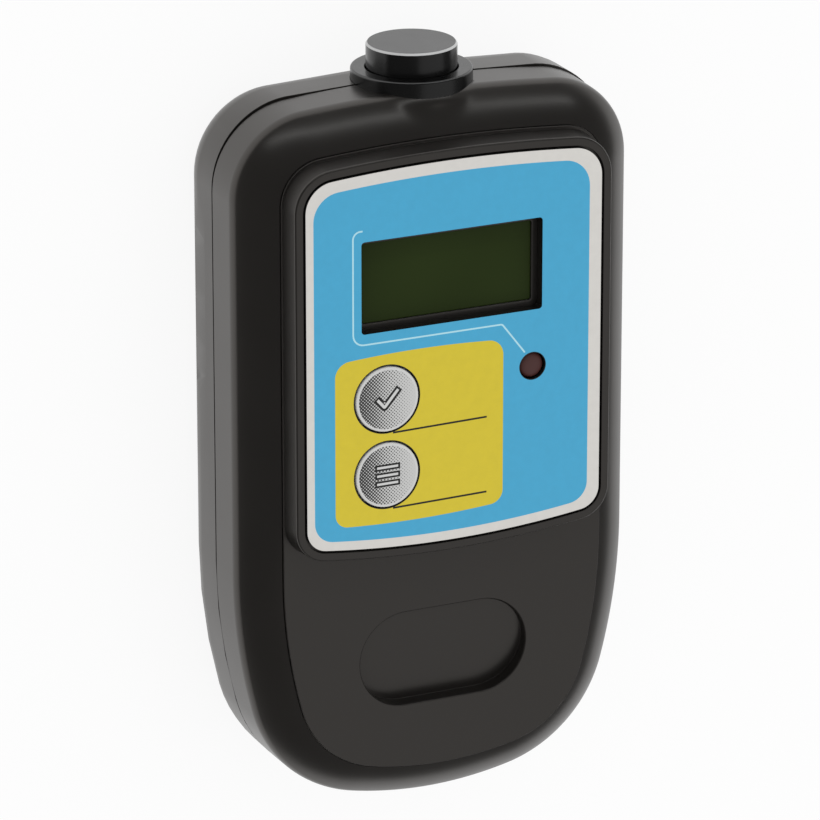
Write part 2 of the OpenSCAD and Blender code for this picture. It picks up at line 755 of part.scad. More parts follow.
// Key: a cap through the deck, a flange below it and a stem on the switch
module key(y) {
    z_flange = z_deck - fit - key_flange_t;
    z_top = depth + key_proud;
    flange_r = key_hole_d / 2 + key_flange;
    translate([key_x, y, 0]) rotate_extrude() polygon([
        [0, z_plunger],
        [plunger_d / 2, z_plunger],
        [plunger_d / 2, z_flange],
        [flange_r, z_flange],
        [flange_r, z_flange + key_flange_t],
        [key_d / 2, z_flange + key_flange_t],
        [key_d / 2, z_top - key_edge],
        [key_d / 2 - key_edge, z_top],
        [0, z_top]
    ]);
}

module ok_button() { color([0.75, 0.75, 0.74]) key(key_y[0]); }
module function_button() { color([0.75, 0.75, 0.74]) key(key_y[1]); }

module switch_body(y) {
    difference() {
        translate([key_x - switch_w / 2, y - switch_w / 2, z_board]) cube([switch_w, switch_w, switch_h]);
        translate([key_x, y, z_switch - plunger_grip - key_travel - 2 * plunger_clear])
            cylinder(d = plunger_d + 2 * plunger_clear, h = depth);
    }
}

module plunger(y) {
    z0 = z_switch - plunger_grip;
    translate([key_x, y, z0]) cylinder(d = plunger_d, h = z_plunger - z0);
}

module ok_switch() { color([0.2, 0.2, 0.2]) switch_body(key_y[0]); }
module function_switch() { color([0.2, 0.2, 0.2]) switch_body(key_y[1]); }
module ok_plunger() { color([0.6, 0.2, 0.15]) plunger(key_y[0]); }
module function_plunger() { color([0.6, 0.2, 0.15]) plunger(key_y[1]); }

module lcd_glass() {
    color([0.17, 0.2, 0.11]) translate([window_x - glass_w / 2, window_y - glass_h / 2, z_glass])
        cube([glass_w, glass_h, glass_t]);
}

// Frame that stands on the board and holds the glass and its contact strips
module lcd_bezel() {
    inner_w = glass_w + 2 * glass_clear;
    inner_h = glass_h + 2 * glass_clear;
    color([0.15, 0.15, 0.15]) translate([window_x, window_y, z_board]) difference() {
        translate([-bezel_w / 2, -bezel_h / 2, 0]) cube([bezel_w, bezel_h, z_deck - z_board]);
        translate([-inner_w / 2, -inner_h / 2, -1]) cube([inner_w, inner_h, depth]);
    }
}

module contact_strips() {
    strip_y = (glass_h - strip_w) / 2 - glass_clear;
    strip_len = glass_w - 2 * glass_clear;
    color([0.85, 0.55, 0.6]) for (side = [-1, 1])
        translate([window_x - strip_len / 2, window_y + side * strip_y - strip_w / 2, z_board])
        cube([strip_len, strip_w, strip_h]);
}

// Lamp: collar at the foot, a round body and a domed end
module indicator_led() {
    r = led_d / 2;
    color([0.33, 0.1, 0.1]) translate([led_x, led_y, led_foot])
        rotate_extrude() intersection() {
            union() {
                square([r + led_flange, led_flange_t]);
                square([r, led_h - r]);
                translate([0, led_h - r]) circle(r = r);
            }
            square([led_d, led_h]);
        }
}

module led_leads() {
    z0 = z_board - board_t - lead_t;
    color([0.8, 0.8, 0.8]) for (side = [-1, 1])
        translate([led_x + side * lead_pitch / 2 - lead_t / 2, led_y - lead_t / 2, z0])
        cube([lead_t, lead_t, led_foot - z0]);
}

// Board behind the deck, with an ear for an upper screw on each side of the probe
module main_board() {
    color([0.1, 0.35, 0.2]) difference() {
        translate([0, 0, z_board - board_t]) linear_extrude(board_t) {
            translate([-board_half, board_bottom]) square([2 * board_half, bezel_top - board_bottom]);
            for (side = [-1, 1]) translate([side * post_x[1] - ear_w / 2, bezel_top - eps])
                square([ear_w, board_top - bezel_top + eps]);
        }
        for (p = posts) translate([p[0], p[1], 0]) cylinder(d = board_screw_d + 8 * fit, h = depth);
        for (side = [-1, 1]) translate([led_x + side * lead_pitch / 2, led_y, 0])
            cylinder(d = lead_t * sqrt(2) + 4 * fit, h = depth);
    }
}

module controller_chip() {
    color([0.08, 0.08, 0.08]) translate([chip_at[0], chip_at[1], z_board - board_t - chip_t / 2])
        cube([chip_w, chip_w, chip_t], center = true);
}

module buzzer() {
    z0 = z_board - board_t - buzzer_h;
    color([0.08, 0.08, 0.08]) translate([buzzer_at[0], buzzer_at[1], z0]) difference() {
        cylinder(d = buzzer_d, h = buzzer_h);
        translate([0, 0, -1]) cylinder(d = buzzer_hole_d, h = buzzer_hole_h + 1);
    }
}

// Socket for the probe's leads, under the board, open towards the probe
module probe_socket() {
    mouth = [socket_w - 2 * socket_t, socket_h, socket_h - 2 * socket_t];
    z0 = z_board - board_t - socket_h;
    color([0.9, 0.88, 0.8]) translate([-socket_w / 2, socket_y, z0]) difference() {
        cube([socket_w, socket_h, socket_h]);
        translate([socket_t, socket_h - socket_depth, socket_t]) cube(mouth);
    }
}

// Two leads from the socket down into the plug behind the probe
module probe_leads() {
    y0 = socket_y + socket_h - socket_depth + fit;
    y1 = socket_y + socket_h;
    z0 = z_board - board_t - socket_h / 2;
    color([0.7, 0.15, 0.1]) for (side = [-1, 1]) wire([
        [side * lead_x, y0, z0],
        [side * lead_x, y1, z0],
        [side * lead_x, y_collar_end - probe_lead_d, (z0 + parting_z) / 2],
        [side * lead_x, y_collar_end + probe_lead_d, parting_z],
        [side * lead_x, y_retainer, parting_z]
    ], probe_lead_d);
}

// Collar held by a rib in each housing half: a narrow bore for the head, a wider one for stop and spring
module probe_collar() {
    groove_y = rib_t / 2 + fit;
    color([0.12, 0.12, 0.12]) translate([0, 0, parting_z]) rotate([-90, 0, 0]) rotate_extrude() polygon([
        [cage_r, y_collar_end],
        [collar_r, y_collar_end],
        [collar_r, rib_y - groove_y],
        [rib_r - fit, rib_y - groove_y],
        [rib_r - fit, rib_y + groove_y],
        [collar_r, rib_y + groove_y],
        [collar_r, y_collar - collar_edge],
        [collar_r - collar_edge, y_collar],
        [bore_r, y_collar],
        [bore_r, y_stop],
        [cage_r, y_stop]
    ]);
}

module probe_head() {
    color([0.2, 0.2, 0.2]) difference() {
        translate([0, y_head_end, parting_z]) rotate([-90, 0, 0]) rotate_extrude() polygon([
            [0, 0],
            [cage_r - probe_clear, 0],
            [cage_r - probe_clear, stop_t],
            [probe_r, stop_t],
            [probe_r, y_tip - y_head_end - probe_chamfer],
            [probe_r - probe_chamfer, y_tip - y_head_end],
            [0, y_tip - y_head_end]
        ]);
        rod_y(head_bore_r, y_head_end - 1, y_tip - probe_face_t);
    }
}

module probe_core() {
    color([0.35, 0.35, 0.36]) rod_y(core_d / 2, y_head_end, y_tip - probe_face_t - fit);
}

module coil_former() {
    color([0.9, 0.9, 0.85]) difference() {
        union() {
            rod_y(core_d / 2 + former_t, y_coil[0], y_coil[1]);
            rod_y(head_bore_r - fit, y_coil[0], y_coil[0] + former_flange_t);
            rod_y(head_bore_r - fit, y_coil[1] - former_flange_t, y_coil[1]);
        }
        rod_y(core_d / 2 + fit, y_coil[0] - 1, y_coil[1] + 1);
    }
}

module probe_coil() {
    inset = former_flange_t + fit;
    color([0.72, 0.4, 0.18])
        tube_y(head_bore_r - coil_gap, core_d / 2 + former_t + fit, y_coil[0] + inset, y_coil[1] - inset);
}

module probe_spring() {
    mean_r = cage_r - spring_gap - spring_wire_d / 2;
    color([0.75, 0.76, 0.78])
        coil_spring(0, parting_z, mean_r, spring_wire_d, spring_turns, y_retainer + fit, y_head_end - fit);
}

module probe_retainer() {
    color([0.15, 0.15, 0.15]) tube_y(cage_r - fit, retainer_hole_d / 2, y_collar_end, y_retainer);
}

// Round cell along Y with its button at one end
module cell(x, way) {
    middle = (tray_y0 + tray_y1 + way * contact_room) / 2;
    translate([x, middle, z_cell]) rotate([-90 * way, 0, 0]) rotate_extrude() polygon([
        [0, -cell_len / 2],
        [cell_d / 2 - cell_edge, -cell_len / 2],
        [cell_d / 2, -cell_len / 2 + cell_edge],
        [cell_d / 2, cell_len / 2 - button_h - cell_edge],
        [cell_d / 2 - cell_edge, cell_len / 2 - button_h],
        [button_d / 2, cell_len / 2 - button_h],
        [button_d / 2, cell_len / 2],
        [0, cell_len / 2]
    ]);
}

module battery_left() { color([0.3, 0.3, 0.33]) cell(-cell_pitch / 2, 1); }
module battery_right() { color([0.3, 0.3, 0.33]) cell(cell_pitch / 2, -1); }

// Spring at the flat end of each cell
module battery_springs() {
    room = contact_room - 2 * fit;
    starts = [tray_y0 + contact_t + fit, tray_y1 - contact_t - fit - room];
    color([0.8, 0.8, 0.8]) for (i = [0, 1]) coil_spring(
        (i - 0.5) * cell_pitch, z_cell, contact_spring_d / 2, contact_wire_d, contact_turns,
        starts[i], starts[i] + room);
}

module battery_bridge() {
    w = cell_pitch + contact_w;
    color([0.8, 0.8, 0.8]) translate([-w / 2, tray_y0, z_cell - contact_w / 2])
        cube([w, contact_t, contact_w]);
}

// Two plates at the upper end, each with a tail through the tray roof up to the board
module battery_terminals() {
    y0 = tray_y1 - contact_t;
    color([0.8, 0.8, 0.8]) for (side = [-1, 1]) translate([side * cell_pitch / 2, y0, z_cell]) {
        translate([-contact_w / 2, 0, -contact_w / 2]) cube([contact_w, contact_t, contact_w]);
        translate([-tail_w / 2, 0, 0]) cube([tail_w, contact_t, z_board - board_t - z_cell]);
    }
}

// Screw with a flat round head that stands on z, its thread pointing up
module screw(d, head_d, head_h, len, z) {
    translate([0, 0, z - head_h]) difference() {
        union() {
            cylinder(d = head_d, h = head_h);
            cylinder(d = d, h = head_h + len);
        }
        for (turn = [0, 90]) rotate(turn) translate([-head_d * 0.3, -slot_w / 2, -1])
            cube([head_d * 0.6, slot_w, slot_h + 1]);
    }
}

module housing_screws() {
    color([0.7, 0.7, 0.72]) for (b = bosses) translate([b[0], b[1], 0])
        screw(screw_d, screw_head_d, screw_head_h, screw_len, screw_seat);
}

module board_screws() {
    color([0.7, 0.7, 0.72]) for (p = posts) translate([p[0], p[1], 0])
        screw(board_screw_d, 2 * board_screw_d, board_screw_head_h, board_screw_len, z_board - board_t);
}

front_housing();
rear_housing();
battery_door();
overlay_label();
ok_button();
function_button();
ok_switch();
ok_plunger();
function_switch();
function_plunger();
lcd_glass();
lcd_bezel();
contact_strips();
indicator_led();
led_leads();
main_board();
controller_chip();
buzzer();
probe_socket();
probe_leads();
probe_collar();
probe_head();
probe_core();
coil_former();
probe_coil();
probe_spring();
probe_retainer();
battery_left();
battery_right();
battery_springs();
battery_bridge();
battery_terminals();
housing_screws();
board_screws();
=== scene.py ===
import math

import bmesh
import bpy
import numpy as np
from mathutils import Matrix, Vector
from mathutils.geometry import delaunay_2d_cdt


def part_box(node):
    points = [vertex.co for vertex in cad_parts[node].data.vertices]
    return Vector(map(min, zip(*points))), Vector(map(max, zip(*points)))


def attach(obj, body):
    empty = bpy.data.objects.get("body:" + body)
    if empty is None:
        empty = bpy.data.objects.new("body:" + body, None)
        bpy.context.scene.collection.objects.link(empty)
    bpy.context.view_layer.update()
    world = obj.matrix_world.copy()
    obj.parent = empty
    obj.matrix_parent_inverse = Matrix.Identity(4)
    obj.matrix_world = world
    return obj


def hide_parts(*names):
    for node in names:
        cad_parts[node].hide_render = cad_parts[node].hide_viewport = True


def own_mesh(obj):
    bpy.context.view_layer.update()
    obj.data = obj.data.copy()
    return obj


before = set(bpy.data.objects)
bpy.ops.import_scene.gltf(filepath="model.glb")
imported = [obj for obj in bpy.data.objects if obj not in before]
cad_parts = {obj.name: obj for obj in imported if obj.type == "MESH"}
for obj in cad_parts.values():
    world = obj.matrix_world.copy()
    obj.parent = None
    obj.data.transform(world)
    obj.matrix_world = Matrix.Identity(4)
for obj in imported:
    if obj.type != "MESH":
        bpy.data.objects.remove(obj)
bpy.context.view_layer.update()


# Rear half of the housing: a moulded tub of black satin plastic with a round rear edge, a shallow finger
# scoop in each side and four screw wells. The front half closes on its flat rim.
def corners(node):
    """Lowest and highest corner of a solid, in millimetres."""
    low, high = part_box(node)
    return np.array(low) * 1000, np.array(high) * 1000


def finished(name, bm, sharp):
    """Object of a built mesh: smooth faces, edges that turn more than sharp degrees kept crisp."""
    for face in bm.faces:
        face.smooth = True
    for edge in bm.edges:
        edge.smooth = edge.calc_face_angle(0) < math.radians(sharp)
    mesh = bpy.data.meshes.new(name)
    bm.to_mesh(mesh)
    bm.free()
    piece = bpy.data.objects.new(name, mesh)
    bpy.context.collection.objects.link(piece)
    piece.modifiers.new("flat_faces", "WEIGHTED_NORMAL").keep_sharp = True
    return piece


def weld(bm):
    """Merges points that lie within a thousandth of a millimetre of each other."""
    bmesh.ops.remove_doubles(bm, verts=bm.verts, dist=1e-6)


def merged_copy(name, node, sharp):
    """Copy of a solid's mesh with its doubled points merged into one skin."""
    bm = bmesh.new()
    bm.from_mesh(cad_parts[node].data)
    weld(bm)
    return finished(name, bm, sharp)


def fit(piece, material, body, slot, *nodes):
    """Gives a piece its finish and makes it ride on a body and stand for solids."""
    piece.data.materials.append(material)
    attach(piece, body)
    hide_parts(*nodes)
    return piece


def new_material(name):
    """Node material: gives it, a function that adds a wired node, and one that sets its shader."""
    material = bpy.data.materials.new(name)
    material.use_nodes = True
    tree = material.node_tree

    def feed(node, inputs):
        for socket, value in inputs.items():
            if isinstance(value, bpy.types.NodeSocket):
                tree.links.new(value, node.inputs[socket])
            else:
                node.inputs[socket].default_value = value
        return node

    def add(kind, inputs, **settings):
        node = tree.nodes.new(kind)
        for key, value in settings.items():
            setattr(node, key, value)
        return feed(node, inputs)

    return material, add, lambda inputs: feed(tree.nodes["Principled BSDF"], inputs)


def noise(add, scale, detail):
    """Cloudy pattern from 0 to 1, with scale clouds to a metre."""
    place = add("ShaderNodeTexCoord", {}).outputs["Object"]
    return add("ShaderNodeTexNoise", {"Vector": place, "Scale": scale, "Detail": detail}).outputs["Fac"]


def blended(add, pattern, first, last):
    """Colour that goes from first to last with a pattern."""
    mix = add("ShaderNodeMix", {"Factor": pattern, "A": (*first, 1), "B": (*last, 1)}, data_type="RGBA")
    return mix.outputs["Result"]


def tinted(add, pattern, colour, low, high):
    """Colour that goes from low to high times itself with a pattern."""
    return blended(add, pattern, [low * c for c in colour], [high * c for c in colour])


def ranged(add, pattern, low, high):
    """Number that goes from low to high with a pattern."""
    return add("ShaderNodeMapRange", {"Value": pattern, "To Min": low, "To Max": high}).outputs["Result"]


def moulded(name, colour, rough, grain_mm, grain_depth_mm, shine=(1, 1, 1)):
    """Moulded plastic: fine grain as bump, slow drift of colour and gloss over the surface."""
    material, add, shade = new_material(name)
    grain = noise(add, 1000 / grain_mm, 2.0)
    drift = noise(add, 90.0, 3.0)
    bump = add("ShaderNodeBump", {"Height": grain, "Strength": 0.35, "Distance": grain_depth_mm / 1000})
    shade({"Base Color": tinted(add, drift, colour, 0.88, 1.12),
           "Roughness": ranged(add, drift, rough - 0.04, rough + 0.04),
           "Normal": bump.outputs["Normal"], "IOR": 1.7, "Specular Tint": (*shine, 1)})
    return material


def read(items, key, width, kind=float):
    """Array of one property of a mesh's points or faces, a row for each."""
    values = np.empty(width * len(items), kind)
    items.foreach_get(key, values)
    return values.reshape(-1, width)


def level_ledge(mesh, rim_z, lip_h, drop, depth):
    """Turns the slanting lip of a rim into a level ledge: the lip's points go to the height rim_z - drop,
    and its upper ones also move in by depth, against the sum of the normals of their lip faces."""
    points, normals = read(mesh.vertices, "co", 3) * 1000, read(mesh.polygons, "normal", 3)
    faces = read(mesh.polygons, "vertices", 3, np.int32)
    slant, slant_play, height_play = math.sqrt(0.5), 0.03, 0.05
    leaning = np.abs(normals[:, 2] - slant) < slant_play
    lip_faces = leaning & (points[faces][:, :, 2].min(1) > rim_z - lip_h)
    outward = np.zeros_like(points)
    np.add.at(outward, faces[lip_faces], normals[lip_faces][:, None] * (1, 1, 0))
    lip = np.abs(outward).max(1) > 0
    outward[lip] /= np.linalg.norm(outward[lip], axis=1)[:, None]
    upper = lip & (points[:, 2] > rim_z - height_play)
    points[upper] -= outward[upper] * depth
    points[lip, 2] = rim_z - drop
    mesh.vertices.foreach_set("co", points.ravel() / 1000)
    mesh.update()


satin_black = moulded("satin_black_plastic", (0.0115, 0.0104, 0.0094), rough=0.3, grain_mm=0.3,
                      grain_depth_mm=0.004, shine=(1, 0.94, 0.885))
parting_z = corners("front_housing")[0][2]
lip_h, rim_drop, rim_depth = 0.35, 0.17, 0.2
rear_shell = merged_copy("rear_shell", "rear_housing", sharp=28)
level_ledge(rear_shell.data, parting_z, lip_h, rim_drop, rim_depth)
fit(rear_shell, satin_black, "housing", "black_plastic", "rear_housing")

# Battery door: a flat panel that slides off towards the bottom end on two tongues, with three grooves
# for the fingertip. It is moulded in the same black plastic as the housing.
door_panel = merged_copy("door_panel", "battery_door", sharp=28)
fit(door_panel, satin_black, "door", "black_plastic", "battery_door")


# Cells, contacts and screws: two plain wrapped cells between tinned spring contacts, and zinc-plated
# screws that draw the housing and the board together.
def plated(name, colour, rough):
    """Plated metal: bright, with faint cloudy stains that change its gloss."""
    material, add, shade = new_material(name)
    cloud = noise(add, 700.0, 4.0)
    shade({"Base Color": tinted(add, cloud, colour, 0.8, 1),
           "Roughness": ranged(add, cloud, rough - 0.08, rough + 0.08), "Metallic": 1.0})
    return material


def dress(material, *names):
    """Gives solids that are right as they are their finish."""
    for name in names:
        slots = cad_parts[name].data.materials
        slots.clear()
        slots.append(material)


dress(moulded("cell_wrapper", (0.10, 0.10, 0.12), 0.3, 0.8, 0.005), "battery_left", "battery_right")
dress(plated("tinned_contact", (0.62, 0.61, 0.58), 0.32), "battery_springs", "battery_bridge",
      "battery_terminals", "led_leads")
zinc = plated("zinc_plate", (0.56, 0.57, 0.58), 0.34)
dress(zinc, "housing_screws", "board_screws")

# Circuit board and what stands on it: green board, black chip, buzzer and switches, ivory socket for the
# probe's red leads, and the frame with two pink contact strips under the display glass.
dress(moulded("solder_mask", (0.012, 0.11, 0.035), 0.28, 1.2, 0.01), "main_board")
dress(moulded("package_black", (0.02, 0.02, 0.022), 0.55, 0.2, 0.02), "controller_chip", "buzzer",
      "ok_switch", "function_switch", "lcd_bezel", "probe_retainer")
dress(moulded("plunger_red", (0.35, 0.06, 0.04), 0.45, 0.3, 0.01), "ok_plunger", "function_plunger")
dress(moulded("socket_ivory", (0.75, 0.72, 0.62), 0.45, 0.3, 0.01), "probe_socket", "coil_former")
dress(moulded("lead_insulation", (0.40, 0.02, 0.012), 0.5, 0.3, 0.01), "probe_leads")
dress(moulded("strip_rubber", (0.50, 0.25, 0.28), 0.7, 0.15, 0.01), "contact_strips")
dress(plated("sintered_iron", (0.22, 0.22, 0.23), 0.55), "probe_core")
dress(plated("copper_winding", (0.62, 0.28, 0.12), 0.35), "probe_coil")


# Display: a glass cell that lies below the window. Its dark olive polariser film shows no figures while
# the gauge is off.
def soften(route, steps=5):
    """Polyline through corners (a, b, radius), each turned into an arc of that radius. An arc of angle s
    is centre + (sin((1 - t) s) * first + sin(t s) * last) / sin s, with t from 0 to 1."""
    points = np.array(route, float)
    line = [points[:1, :2]]
    for before, corner, after in zip(points[:-2], points[1:-1], points[2:]):
        back = (before - corner)[:2] / np.linalg.norm((before - corner)[:2])
        ahead = (after - corner)[:2] / np.linalg.norm((after - corner)[:2])
        half = math.acos(np.clip(back @ ahead, -1, 1)) / 2
        centre = corner[:2] + (back + ahead) / np.linalg.norm(back + ahead) * corner[2] / math.sin(half)
        first = corner[:2] + back * corner[2] / math.tan(half) - centre
        last = corner[:2] + ahead * corner[2] / math.tan(half) - centre
        turn = np.linspace(0, 1, steps if corner[2] > 0 else 1)[:, None]
        angle = math.pi - 2 * half
        arc = np.sin((1 - turn) * angle) * first + np.sin(turn * angle) * last
        line.append(centre + arc / math.sin(angle))
    return np.vstack(line + [points[-1:, :2]])


class Outline:
    """Mirrored outline of tangent arcs. Pulled in by d, its points are centre + (radius - d) * normal."""

    def __init__(self, arcs, shift=(0, 0)):
        """Each arc of the right half is (centre x, centre y, radius, first angle, last angle, points)."""
        right = np.vstack([
            np.column_stack([np.full((n, 3), (x, y, r)), np.radians(np.linspace(a, b, n))])
            for x, y, r, a, b, n in arcs])
        left = right[::-1] * [-1, 1, 1, -1] + [0, 0, 0, math.pi]
        x, y, radius, angle = np.vstack([right, left]).T
        normal = np.column_stack([np.cos(angle), np.sin(angle)])
        centre = np.column_stack([x, y]) + shift
        points = centre + radius[:, None] * normal
        fresh = np.linalg.norm(points - np.roll(points, 1, 0), axis=1) > 1e-6
        self.centre, self.radius, self.normal = centre[fresh], radius[fresh, None], normal[fresh]

    def at(self, inset):
        """Points of the outline pulled in by inset."""
        return self.centre + (self.radius - inset) * self.normal

    def wall(self, profile):
        """Grid of a profile of (inset, height) pairs carried round the outline."""
        return np.stack([np.column_stack([self.at(d), np.full(len(self.centre), z)]) for d, z in profile])


def rounded_box(low, high, radius, count=6):
    """Outline of a rectangle with round corners."""
    (x0, y0), (x1, y1) = low, high
    half, tall = (x1 - x0) / 2 - radius, (y1 - y0) / 2 - radius
    return Outline([(half, -tall, radius, -90, 0, count), (half, tall, radius, 0, 90, count)],
                   ((x0 + x1) / 2, (y0 + y1) / 2))


def sheets(grids):
    """Mesh of closed bands of quads that share their edges, one band for each grid (ring, point, xyz) in
    millimetres. A quad joins points i and i + 1 of a ring to the same points of the next ring."""
    points, faces, start = [], [], 0
    for grid in grids:
        rings, count = grid.shape[:2]
        ring, step = np.meshgrid(np.arange(rings - 1), np.arange(count), indexing="ij")
        here = start + ring * count + step
        there = start + ring * count + (step + 1) % count
        faces.append(np.stack([here, there, there + count, here + count], -1).reshape(-1, 4))
        points.append(grid.reshape(-1, 3))
        start += rings * count
    mesh = bpy.data.meshes.new("bands")
    mesh.from_pydata(np.vstack(points) / 1000, [], np.vstack(faces))
    bm = bmesh.new()
    bm.from_mesh(mesh)
    bpy.data.meshes.remove(mesh)
    weld(bm)
    bmesh.ops.dissolve_degenerate(bm, edges=bm.edges, dist=1e-7)
    return bm


def cap(bm, *heights):
    """Fills the open edges that lie in each level plane, given in millimetres."""
    play = 1e-7
    for z in heights:
        rim = [e for e in bm.edges if e.is_boundary and all(abs(v.co.z - z / 1000) < play for v in e.verts)]
        bmesh.ops.triangle_fill(bm, use_beauty=True, edges=rim, normal=(0, 0, 1))


def make(name, bm, material, body, slot, *nodes):
    """Piece of a closed mesh, turned to face outwards."""
    bmesh.ops.recalc_face_normals(bm, faces=bm.faces)
    return fit(finished(name, bm, sharp=32), material, body, slot, *nodes)


glass_low, glass_high = corners("lcd_glass")
glass_corner, glass_edge, glass_rim = 0.3, 0.15, 0.25
olive, add, shade = new_material("display_glass")
shadow = noise(add, 60.0, 1.0)
shade({"Base Color": blended(add, shadow, (0.0166, 0.0262, 0.0055), (0.0248, 0.0394, 0.0085)),
       "Roughness": ranged(add, shadow, 0.2, 0.28), "Specular IOR Level": 0.08})
glass_path = rounded_box(glass_low[:2], glass_high[:2], glass_corner)
glass_profile = soften([
    (glass_rim, glass_low[2], 0), (0, glass_low[2], glass_edge), (0, glass_high[2], glass_edge),
    (glass_rim, glass_high[2], 0)])
pane = sheets([glass_path.wall(glass_profile)])
cap(pane, glass_low[2], glass_high[2])
make("display_pane", pane, olive, "housing", "display_glass", "lcd_glass")


# Probe: a turned black head with a chamfered measuring face slides in a black collar, which both housing
# halves clamp at the parting line. A steel spring behind the head pushes it out.
def turned(profile, axis, count=96):
    """Grid of a profile of (radius, y) pairs turned about the line x = axis[0], z = axis[1]."""
    angle = np.linspace(0, 2 * math.pi, count, endpoint=False)
    radius, along = np.asarray(profile, float).T
    x = axis[0] + radius[:, None] * np.cos(angle)
    z = axis[1] + radius[:, None] * np.sin(angle)
    return np.stack([x, np.broadcast_to(along[:, None], x.shape), z], -1)


def lathe_black(name, tone, rough, painted_highlight_tone):
    """Turned black plastic: fine grain as bump, some wear in the gloss, and a painted highlight: a paler
    colour where the surface leans so that the y of its normal is within edge_play of edge_lean, the lean at
    which its edges mirror the top lamp."""
    edge_lean, edge_play = 0.64, 0.1
    material, add, shade = new_material(name)
    grain = noise(add, 1500.0, 2.0)
    wear = noise(add, 220.0, 4.0)
    bump = add("ShaderNodeBump", {"Height": grain, "Strength": 0.25, "Distance": 0.00002})
    base = tinted(add, wear, (tone, tone, tone), 0.8, 1.2)
    lean = add("ShaderNodeSeparateXYZ", {"Vector": add("ShaderNodeTexCoord", {}).outputs["Normal"]})
    edge = add("ShaderNodeMath", {0: lean.outputs["Y"], 1: edge_lean, 2: edge_play}, operation="COMPARE")
    # Painted highlight: the leaning band is mixed towards a pale tone, where the top lamp would reflect.
    highlit = add("ShaderNodeMix", {"Factor": edge.outputs[0], "A": base,
                                 "B": (painted_highlight_tone, painted_highlight_tone, painted_highlight_tone, 1)}, data_type="RGBA")
    shade({"Base Color": highlit.outputs["Result"], "Roughness": ranged(add, wear, rough - 0.06, rough + 0.06),
           "Normal": bump.outputs["Normal"]})
    return material


collar_low, collar_high = corners("probe_collar")
collar_back, collar_front = collar_low[1], collar_high[1]
axis = (0, (collar_low[2] + collar_high[2]) / 2)
collar_r = (collar_high[0] - collar_low[0]) / 2
head_r, slide_gap, cage_step = 6.35, 0.15, 0.5
bore_r = head_r + slide_gap
cage_r = bore_r + cage_step
bore_len, bore_seam = 5, 3
mouth_edge, front_edge, back_edge = 0.15, 0.3, 0.2
rib_depth, rib_seat, rib_t, rib_gap = 8.1, 0.5, 2, 0.05
rib_y, rib_r = collar_front - rib_depth, collar_r - rib_seat
rib_front, rib_back = rib_y + rib_t / 2 + rib_gap, rib_y - rib_t / 2 - rib_gap
collar_profile = soften([
    (bore_r, collar_front - bore_seam, 0), (bore_r, collar_front, mouth_edge),
    (collar_r, collar_front, front_edge), (collar_r, rib_front, 0), (rib_r, rib_front, 0),
    (rib_r, rib_back, 0), (collar_r, rib_back, 0), (collar_r, collar_back, back_edge),
    (cage_r, collar_back, 0), (cage_r, collar_front - bore_len, 0), (bore_r, collar_front - bore_len, 0),
    (bore_r, collar_front - bore_seam, 0)])
# The collar's rounded front edge carries a faint painted highlight.
collar_black = lathe_black("collar_black", 0.005, rough=0.26, painted_highlight_tone=0.08)
make("collar_ring", sheets([turned(collar_profile, axis)]), collar_black, "housing", "black_plastic",
     "probe_collar")

head_low, head_high = corners("probe_head")
heel_y, tip_y = head_low[1], head_high[1]
head_wall, face_t, flange_t = 1.75, 1.5, 2
inner_r, flange_r = head_r - head_wall, cage_r - slide_gap
chamfer_w, chamfer_h = 0.25, 0.3
head_edge, chamfer_edge = 0.1, 0.05
head_profile = soften([
    (0, tip_y - face_t, 0), (inner_r, tip_y - face_t, head_edge), (inner_r, heel_y, head_edge),
    (flange_r, heel_y, head_edge), (flange_r, heel_y + flange_t, head_edge), (head_r, heel_y + flange_t, 0),
    (head_r, tip_y - chamfer_h, chamfer_edge), (head_r - chamfer_w, tip_y, chamfer_edge), (0, tip_y, 0)])
# The head's chamfer carries a bright painted highlight.
head_black = lathe_black("head_black", 0.005, rough=0.24, painted_highlight_tone=0.55)
make("probe_tip", sheets([turned(head_profile, axis)]), head_black, "probe", "probe_black", "probe_head")

return_spring = merged_copy("return_spring", "probe_spring", sharp=40)
fit(return_spring, zinc, "housing", "spring_steel", "probe_spring")
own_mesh(return_spring)

# Front half of the housing: black satin plastic with a softly rounded shoulder, a raised deck that carries
# the label in a shallow pocket, and a sloping thumb rest below it. Posts for the screws and a rib that
# holds the collar stand inside it.
body_low, body_high = corners("rear_housing")
label_low, label_high = corners("overlay_label")
half_w, y_bottom, y_top = body_high[0], body_low[1], body_high[1]
z_pocket, z_label = label_low[2], label_high[2]
z_ceiling = glass_high[2]
deck_h, face_step = 3.6, 0.3
z_face = z_label - deck_h
z_crease = z_face - face_step
shoulder_run, shoulder_rise = 5.4, 5
z_shoulder = z_crease - shoulder_rise
draft, wall_t, face_plate, crease_w = 0.1, 2.2, 2, 0.25
face_inset = draft + shoulder_run + crease_w
top_r, top_arch = 12, 220
bottom_r, bottom_arch, sweep_r, sweep = 20, 56, 83, 15

top_x = half_w - top_r
top_turn = math.degrees(math.asin(top_x / (top_arch - top_r)))
top_y = y_top - top_arch + (top_arch - top_r) * math.cos(math.radians(top_turn))
corner_x = half_w - sweep_r + (sweep_r - bottom_r) * math.cos(math.radians(sweep))
bottom_turn = math.degrees(math.asin(corner_x / (bottom_arch - bottom_r)))
corner_y = y_bottom + bottom_arch - (bottom_arch - bottom_r) * math.cos(math.radians(bottom_turn))
sweep_y = corner_y + (sweep_r - bottom_r) * math.sin(math.radians(sweep))
body_path = Outline([
    (0, y_bottom + bottom_arch, bottom_arch, -90, -90 + bottom_turn, 12),
    (corner_x, corner_y, bottom_r, -90 + bottom_turn, -sweep, 30),
    (half_w - sweep_r, sweep_y, sweep_r, -sweep, 0, 16),
    (top_x, top_y, top_r, 0, 90 - top_turn, 28),
    (0, y_top - top_arch, top_arch, 90 - top_turn, 90, 40)])


